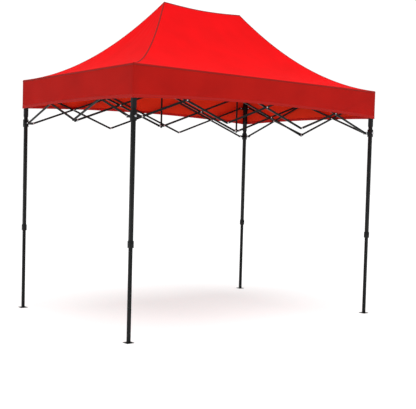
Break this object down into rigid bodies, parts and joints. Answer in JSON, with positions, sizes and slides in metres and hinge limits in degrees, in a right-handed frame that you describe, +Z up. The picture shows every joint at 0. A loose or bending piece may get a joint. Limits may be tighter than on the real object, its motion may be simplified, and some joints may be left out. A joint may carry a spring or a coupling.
{
  "type": "pop up canopy",
  "caption": "Folding event canopy with a two-peak sewn roof and short valances on a scissor frame with telescopic legs.",
  "frame": {"origin": "on the ground at the centre of the plan", "axes": "+Z up, +X along the long side, +Y from the front long side to the back"},
  "size_m": [2.952, 2.0672, 3.05],
  "materials": {
    "cloth": "matte woven polyester",
    "frame_steel": "black powder coat, satin",
    "black_plastic": "moulded nylon, satin",
    "plated_steel": "zinc plated"
  },
  "bodies": {
    "leg_fl": {"upper_leg_fl": "frame_steel", "corner_bracket_fl": "black_plastic"},
    "lower_leg_fl": {"lower_leg_fl": "frame_steel"},
    "slider_fl": {"slider_fl": "black_plastic"},
    "pull_pin_fl": {"pull_pin_fl": "plated_steel"},
    "leg_fr": {"upper_leg_fr": "frame_steel", "corner_bracket_fr": "black_plastic"},
    "lower_leg_fr": {"lower_leg_fr": "frame_steel"},
    "slider_fr": {"slider_fr": "black_plastic"},
    "pull_pin_fr": {"pull_pin_fr": "plated_steel"},
    "leg_bl": {"upper_leg_bl": "frame_steel", "corner_bracket_bl": "black_plastic"},
    "lower_leg_bl": {"lower_leg_bl": "frame_steel"},
    "slider_bl": {"slider_bl": "black_plastic"},
    "pull_pin_bl": {"pull_pin_bl": "plated_steel"},
    "leg_br": {"upper_leg_br": "frame_steel", "corner_bracket_br": "black_plastic"},
    "lower_leg_br": {"lower_leg_br": "frame_steel"},
    "slider_br": {"slider_br": "black_plastic"},
    "pull_pin_br": {"pull_pin_br": "plated_steel"},
    "front_bar_down_1": {"front_bar_down_1": "frame_steel"},
    "front_bar_up_1": {"front_bar_up_1": "frame_steel"},
    "front_bar_down_2": {"front_bar_down_2": "frame_steel"},
    "front_bar_up_2": {"front_bar_up_2": "frame_steel"},
    "front_bar_down_3": {"front_bar_down_3": "frame_steel"},
    "front_bar_up_3": {"front_bar_up_3": "frame_steel"},
    "back_bar_down_1": {"back_bar_down_1": "frame_steel"},
    "back_bar_up_1": {"back_bar_up_1": "frame_steel"},
    "back_bar_down_2": {"back_bar_down_2": "frame_steel"},
    "back_bar_up_2": {"back_bar_up_2": "frame_steel"},
    "back_bar_down_3": {"back_bar_down_3": "frame_steel"},
    "back_bar_up_3": {"back_bar_up_3": "frame_steel"},
    "left_bar_down_1": {"left_bar_down_1": "frame_steel"},
    "left_bar_up_1": {"left_bar_up_1": "frame_steel"},
    "left_bar_down_2": {"left_bar_down_2": "frame_steel"},
    "left_bar_up_2": {"left_bar_up_2": "frame_steel"},
    "right_bar_down_1": {"right_bar_down_1": "frame_steel"},
    "right_bar_up_1": {"right_bar_up_1": "frame_steel"},
    "right_bar_down_2": {"right_bar_down_2": "frame_steel"},
    "right_bar_up_2": {"right_bar_up_2": "frame_steel"},
    "ridge_bar_down_1": {"ridge_bar_down_1": "frame_steel"},
    "ridge_bar_up_1": {"ridge_bar_up_1": "frame_steel"},
    "ridge_bar_down_2": {"ridge_bar_down_2": "frame_steel"},
    "ridge_bar_up_2": {"ridge_bar_up_2": "frame_steel"},
    "ridge_bar_down_3": {"ridge_bar_down_3": "frame_steel"},
    "ridge_bar_up_3": {"ridge_bar_up_3": "frame_steel"},
    "top_tee_left": {"top_tee_left": "plated_steel"},
    "bottom_tee_left": {"bottom_tee_left": "black_plastic"},
    "top_hub_left": {"top_hub_left": "black_plastic"},
    "roof_pole_left": {"roof_pole_left": "frame_steel", "pole_tip_left": "plated_steel"},
    "top_tee_right": {"top_tee_right": "plated_steel"},
    "bottom_tee_right": {"bottom_tee_right": "black_plastic"},
    "top_hub_right": {"top_hub_right": "black_plastic"},
    "roof_pole_right": {"roof_pole_right": "frame_steel", "pole_tip_right": "plated_steel"},
    "roof_front": {"roof_front": "cloth"},
    "roof_back": {"roof_back": "cloth"},
    "roof_left": {"roof_left": "cloth"},
    "roof_right": {"roof_right": "cloth"}
  },
  "joints": [
    {"name": "frame_fold", "type": "hinge", "parent": "leg_fl", "child": "front_bar_down_1", "pos_m": [-1.365, -0.986, 2.19], "axis": [0, 1, 0], "range_deg": [0, 65]},
    {"name": "front_cross_1", "type": "hinge", "parent": "front_bar_down_1", "child": "front_bar_up_1", "pos_m": [-0.91, -0.986, 2.02207], "axis": [0, 1, 0], "range_deg": [-130.5, 0]},
    {"name": "front_slider_start", "type": "hinge", "parent": "front_bar_up_1", "child": "slider_fl", "pos_m": [-1.365, -0.986, 1.85414], "axis": [0, 1, 0], "range_deg": [0, 65.5]},
    {"name": "front_node_low_1", "type": "hinge", "parent": "front_bar_down_1", "child": "front_bar_up_2", "pos_m": [-0.455, -0.986, 1.85414], "axis": [0, 1, 0], "range_deg": [-130.5, 0]},
    {"name": "front_cross_2", "type": "hinge", "parent": "front_bar_up_2", "child": "front_bar_down_2", "pos_m": [0, -0.986, 2.02207], "axis": [0, 1, 0], "range_deg": [0, 130.5]},
    {"name": "front_node_top_2", "type": "hinge", "parent": "front_bar_up_2", "child": "front_bar_down_3", "pos_m": [0.455, -0.986, 2.19], "axis": [0, 1, 0], "range_deg": [0, 130.5]},
    {"name": "front_cross_3", "type": "hinge", "parent": "front_bar_down_3", "child": "front_bar_up_3", "pos_m": [0.91, -0.986, 2.02207], "axis": [0, 1, 0], "range_deg": [-130.5, 0]},
    {"name": "front_bracket_end", "type": "hinge", "parent": "front_bar_up_3", "child": "leg_fr", "pos_m": [1.365, -0.986, 2.19], "axis": [0, 1, 0], "range_deg": [0, 65.5]},
    {"name": "front_slider_end", "type": "hinge", "parent": "front_bar_down_3", "child": "slider_fr", "pos_m": [1.365, -0.986, 1.85414], "axis": [0, 1, 0], "range_deg": [-65.5, 0]},
    {"name": "left_bracket_start", "type": "hinge", "parent": "leg_fl", "child": "left_bar_down_1", "pos_m": [-1.441, -0.91, 2.19], "axis": [-1, 0, 0], "range_deg": [0, 65.5]},
    {"name": "left_cross_1", "type": "hinge", "parent": "left_bar_down_1", "child": "left_bar_up_1", "pos_m": [-1.441, -0.455, 2.02207], "axis": [-1, 0, 0], "range_deg": [-130.5, 0]},
    {"name": "left_top_tee_turn", "type": "hinge", "parent": "left_bar_up_1", "child": "top_tee_left", "pos_m": [-1.441, 0, 2.19], "axis": [-1, 0, 0], "range_deg": [0, 65.5]},
    {"name": "left_bottom_tee_turn", "type": "hinge", "parent": "left_bar_down_1", "child": "bottom_tee_left", "pos_m": [-1.441, 0, 1.85414], "axis": [-1, 0, 0], "range_deg": [-65.5, 0]},
    {"name": "left_node_low_1", "type": "hinge", "parent": "left_bar_down_1", "child": "left_bar_up_2", "pos_m": [-1.441, 0, 1.85414], "axis": [-1, 0, 0], "range_deg": [-130.5, 0]},
    {"name": "left_cross_2", "type": "hinge", "parent": "left_bar_up_2", "child": "left_bar_down_2", "pos_m": [-1.441, 0.455, 2.02207], "axis": [-1, 0, 0], "range_deg": [0, 130.5]},
    {"name": "left_bracket_end", "type": "hinge", "parent": "left_bar_up_2", "child": "leg_bl", "pos_m": [-1.441, 0.91, 2.19], "axis": [-1, 0, 0], "range_deg": [0, 65.5]},
    {"name": "left_slider_end", "type": "hinge", "parent": "left_bar_down_2", "child": "slider_bl", "pos_m": [-1.441, 0.91, 1.85414], "axis": [-1, 0, 0], "range_deg": [-65.5, 0]},
    {"name": "right_bracket_start", "type": "hinge", "parent": "leg_fr", "child": "right_bar_down_1", "pos_m": [1.441, -0.91, 2.19], "axis": [-1, 0, 0], "range_deg": [0, 65.5]},
    {"name": "right_cross_1", "type": "hinge", "parent": "right_bar_down_1", "child": "right_bar_up_1", "pos_m": [1.441, -0.455, 2.02207], "axis": [-1, 0, 0], "range_deg": [-130.5, 0]},
    {"name": "right_top_tee_turn", "type": "hinge", "parent": "right_bar_up_1", "child": "top_tee_right", "pos_m": [1.441, 0, 2.19], "axis": [-1, 0, 0], "range_deg": [0, 65.5]},
    {"name": "right_bottom_tee_turn", "type": "hinge", "parent": "right_bar_down_1", "child": "bottom_tee_right", "pos_m": [1.441, 0, 1.85414], "axis": [-1, 0, 0], "range_deg": [-65.5, 0]},
    {"name": "right_node_low_1", "type": "hinge", "parent": "right_bar_down_1", "child": "right_bar_up_2", "pos_m": [1.441, 0, 1.85414], "axis": [-1, 0, 0], "range_deg": [-130.5, 0]},
    {"name": "right_cross_2", "type": "hinge", "parent": "right_bar_up_2", "child": "right_bar_down_2", "pos_m": [1.441, 0.455, 2.02207], "axis": [-1, 0, 0], "range_deg": [0, 130.5]},
    {"name": "right_bracket_end", "type": "hinge", "parent": "right_bar_up_2", "child": "leg_br", "pos_m": [1.441, 0.91, 2.19], "axis": [-1, 0, 0], "range_deg": [0, 65.5]},
    {"name": "right_slider_end", "type": "hinge", "parent": "right_bar_down_2", "child": "slider_br", "pos_m": [1.441, 0.91, 1.85414], "axis": [-1, 0, 0], "range_deg": [-65.5, 0]},
    {"name": "back_bracket_start", "type": "hinge", "parent": "leg_bl", "child": "back_bar_down_1", "pos_m": [-1.365, 0.986, 2.19], "axis": [0, 1, 0], "range_deg": [0, 65.5]},
    {"name": "back_cross_1", "type": "hinge", "parent": "back_bar_down_1", "child": "back_bar_up_1", "pos_m": [-0.91, 0.986, 2.02207], "axis": [0, 1, 0], "range_deg": [-130.5, 0]},
    {"name": "back_node_low_1", "type": "hinge", "parent": "back_bar_down_1", "child": "back_bar_up_2", "pos_m": [-0.455, 0.986, 1.85414], "axis": [0, 1, 0], "range_deg": [-130.5, 0]},
    {"name": "back_cross_2", "type": "hinge", "parent": "back_bar_up_2", "child": "back_bar_down_2", "pos_m": [0, 0.986, 2.02207], "axis": [0, 1, 0], "range_deg": [0, 130.5]},
    {"name": "back_bracket_end", "type": "hinge", "parent": "leg_br", "child": "back_bar_up_3", "pos_m": [1.365, 0.986, 2.19], "axis": [0, 1, 0], "range_deg": [-65.5, 0]},
    {"name": "back_cross_3", "type": "hinge", "parent": "back_bar_up_3", "child": "back_bar_down_3", "pos_m": [0.91, 0.986, 2.02207], "axis": [0, 1, 0], "range_deg": [0, 130.5]},
    {"name": "ridge_tee_start", "type": "hinge", "parent": "top_tee_left", "child": "ridge_bar_down_1", "pos_m": [-1.413, 0, 2.19], "axis": [0, 1, 0], "range_deg": [0, 65.5]},
    {"name": "ridge_cross_1", "type": "hinge", "parent": "ridge_bar_down_1", "child": "ridge_bar_up_1", "pos_m": [-0.958, 0, 2.02207], "axis": [0, 1, 0], "range_deg": [-130.5, 0]},
    {"name": "ridge_hub_left_top", "type": "hinge", "parent": "ridge_bar_up_1", "child": "top_hub_left", "pos_m": [-0.503, 0, 2.19], "axis": [0, 1, 0], "range_deg": [0, 65.5]},
    {"name": "ridge_hub_left_low", "type": "hinge", "parent": "ridge_bar_down_1", "child": "roof_pole_left", "pos_m": [-0.503, 0, 1.85414], "axis": [0, 1, 0], "range_deg": [-65.5, 0]},
    {"name": "ridge_hub_left_out", "type": "hinge", "parent": "top_hub_left", "child": "ridge_bar_down_2", "pos_m": [-0.455, 0, 2.19], "axis": [0, 1, 0], "range_deg": [0, 65.5]},
    {"name": "ridge_cross_2", "type": "hinge", "parent": "ridge_bar_down_2", "child": "ridge_bar_up_2", "pos_m": [0, 0, 2.02207], "axis": [0, 1, 0], "range_deg": [-130.5, 0]},
    {"name": "ridge_tee_end", "type": "hinge", "parent": "top_tee_right", "child": "ridge_bar_up_3", "pos_m": [1.413, 0, 2.19], "axis": [0, 1, 0], "range_deg": [-65.5, 0]},
    {"name": "ridge_cross_3", "type": "hinge", "parent": "ridge_bar_up_3", "child": "ridge_bar_down_3", "pos_m": [0.958, 0, 2.02207], "axis": [0, 1, 0], "range_deg": [0, 130.5]},
    {"name": "ridge_hub_right_top", "type": "hinge", "parent": "ridge_bar_down_3", "child": "top_hub_right", "pos_m": [0.503, 0, 2.19], "axis": [0, 1, 0], "range_deg": [-65.5, 0]},
    {"name": "ridge_hub_right_low", "type": "hinge", "parent": "ridge_bar_up_3", "child": "roof_pole_right", "pos_m": [0.503, 0, 1.85414], "axis": [0, 1, 0], "range_deg": [0, 65.5]},
    {"name": "roof_front_drop", "type": "hinge", "parent": "leg_fl", "child": "roof_front", "pos_m": [0, -1.012, 2.28], "axis": [-1, 0, 0], "range_deg": [0, 134.5], "deforming": ["roof_front"]},
    {"name": "roof_left_drop", "type": "hinge", "parent": "leg_fl", "child": "roof_left", "pos_m": [-1.467, 0, 2.28], "axis": [0, 1, 0], "range_deg": [0, 134.5], "deforming": ["roof_left"]},
    {"name": "roof_back_drop", "type": "hinge", "parent": "leg_bl", "child": "roof_back", "pos_m": [0, 1.012, 2.28], "axis": [1, 0, 0], "range_deg": [0, 134.5], "deforming": ["roof_back"]},
    {"name": "roof_right_drop", "type": "hinge", "parent": "leg_fr", "child": "roof_right", "pos_m": [1.467, 0, 2.28], "axis": [0, -1, 0], "range_deg": [0, 134.5], "deforming": ["roof_right"]},
    {"name": "leg_height_fl", "type": "slide", "parent": "leg_fl", "child": "lower_leg_fl", "axis": [0, 0, 1], "range_m": [0, 0.64]},
    {"name": "pull_pin_fl_pull", "type": "slide", "parent": "slider_fl", "child": "pull_pin_fl", "axis": [0, -1, 0], "range_m": [0, 0.008], "stiffness_N_per_m": 1500},
    {"name": "leg_height_fr", "type": "slide", "parent": "leg_fr", "child": "lower_leg_fr", "axis": [0, 0, 1], "range_m": [0, 0.64]},
    {"name": "pull_pin_fr_pull", "type": "slide", "parent": "slider_fr", "child": "pull_pin_fr", "axis": [0, -1, 0], "range_m": [0, 0.008], "stiffness_N_per_m": 1500},
    {"name": "leg_height_bl", "type": "slide", "parent": "leg_bl", "child": "lower_leg_bl", "axis": [0, 0, 1], "range_m": [0, 0.64]},
    {"name": "pull_pin_bl_pull", "type": "slide", "parent": "slider_bl", "child": "pull_pin_bl", "axis": [0, 1, 0], "range_m": [0, 0.008], "stiffness_N_per_m": 1500},
    {"name": "leg_height_br", "type": "slide", "parent": "leg_br", "child": "lower_leg_br", "axis": [0, 0, 1], "range_m": [0, 0.64]},
    {"name": "pull_pin_br_pull", "type": "slide", "parent": "slider_br", "child": "pull_pin_br", "axis": [0, 1, 0], "range_m": [0, 0.008], "stiffness_N_per_m": 1500}
  ],
  "couplings": [
    {"joint": "front_cross_1", "follows": "frame_fold", "ratio": -2},
    {"joint": "front_slider_start", "follows": "frame_fold", "ratio": 1},
    {"joint": "front_node_low_1", "follows": "frame_fold", "ratio": -2},
    {"joint": "front_cross_2", "follows": "frame_fold", "ratio": 2},
    {"joint": "front_node_top_2", "follows": "frame_fold", "ratio": 2},
    {"joint": "front_cross_3", "follows": "frame_fold", "ratio": -2},
    {"joint": "front_bracket_end", "follows": "frame_fold", "ratio": 1},
    {"joint": "front_slider_end", "follows": "frame_fold", "ratio": -1},
    {"joint": "left_bracket_start", "follows": "frame_fold", "ratio": 1},
    {"joint": "left_cross_1", "follows": "frame_fold", "ratio": -2},
    {"joint": "left_top_tee_turn", "follows": "frame_fold", "ratio": 1},
    {"joint": "left_bottom_tee_turn", "follows": "frame_fold", "ratio": -1},
    {"joint": "left_node_low_1", "follows": "frame_fold", "ratio": -2},
    {"joint": "left_cross_2", "follows": "frame_fold", "ratio": 2},
    {"joint": "left_bracket_end", "follows": "frame_fold", "ratio": 1},
    {"joint": "left_slider_end", "follows": "frame_fold", "ratio": -1},
    {"joint": "right_bracket_start", "follows": "frame_fold", "ratio": 1},
    {"joint": "right_cross_1", "follows": "frame_fold", "ratio": -2},
    {"joint": "right_top_tee_turn", "follows": "frame_fold", "ratio": 1},
    {"joint": "right_bottom_tee_turn", "follows": "frame_fold", "ratio": -1},
    {"joint": "right_node_low_1", "follows": "frame_fold", "ratio": -2},
    {"joint": "right_cross_2", "follows": "frame_fold", "ratio": 2},
    {"joint": "right_bracket_end", "follows": "frame_fold", "ratio": 1},
    {"joint": "right_slider_end", "follows": "frame_fold", "ratio": -1},
    {"joint": "back_bracket_start", "follows": "frame_fold", "ratio": 1},
    {"joint": "back_cross_1", "follows": "frame_fold", "ratio": -2},
    {"joint": "back_node_low_1", "follows": "frame_fold", "ratio": -2},
    {"joint": "back_cross_2", "follows": "frame_fold", "ratio": 2},
    {"joint": "back_bracket_end", "follows": "frame_fold", "ratio": -1},
    {"joint": "back_cross_3", "follows": "frame_fold", "ratio": 2},
    {"joint": "ridge_tee_start", "follows": "frame_fold", "ratio": 1},
    {"joint": "ridge_cross_1", "follows": "frame_fold", "ratio": -2},
    {"joint": "ridge_hub_left_top", "follows": "frame_fold", "ratio": 1},
    {"joint": "ridge_hub_left_low", "follows": "frame_fold", "ratio": -1},
    {"joint": "ridge_hub_left_out", "follows": "frame_fold", "ratio": 1},
    {"joint": "ridge_cross_2", "follows": "frame_fold", "ratio": -2},
    {"joint": "ridge_tee_end", "follows": "frame_fold", "ratio": -1},
    {"joint": "ridge_cross_3", "follows": "frame_fold", "ratio": 2},
    {"joint": "ridge_hub_right_top", "follows": "frame_fold", "ratio": -1},
    {"joint": "ridge_hub_right_low", "follows": "frame_fold", "ratio": 1},
    {"joint": "roof_front_drop", "follows": "frame_fold", "ratio": 2.0615},
    {"joint": "roof_left_drop", "follows": "frame_fold", "ratio": 2.0615},
    {"joint": "roof_back_drop", "follows": "frame_fold", "ratio": 2.0615},
    {"joint": "roof_right_drop", "follows": "frame_fold", "ratio": 2.0615}
  ]
}
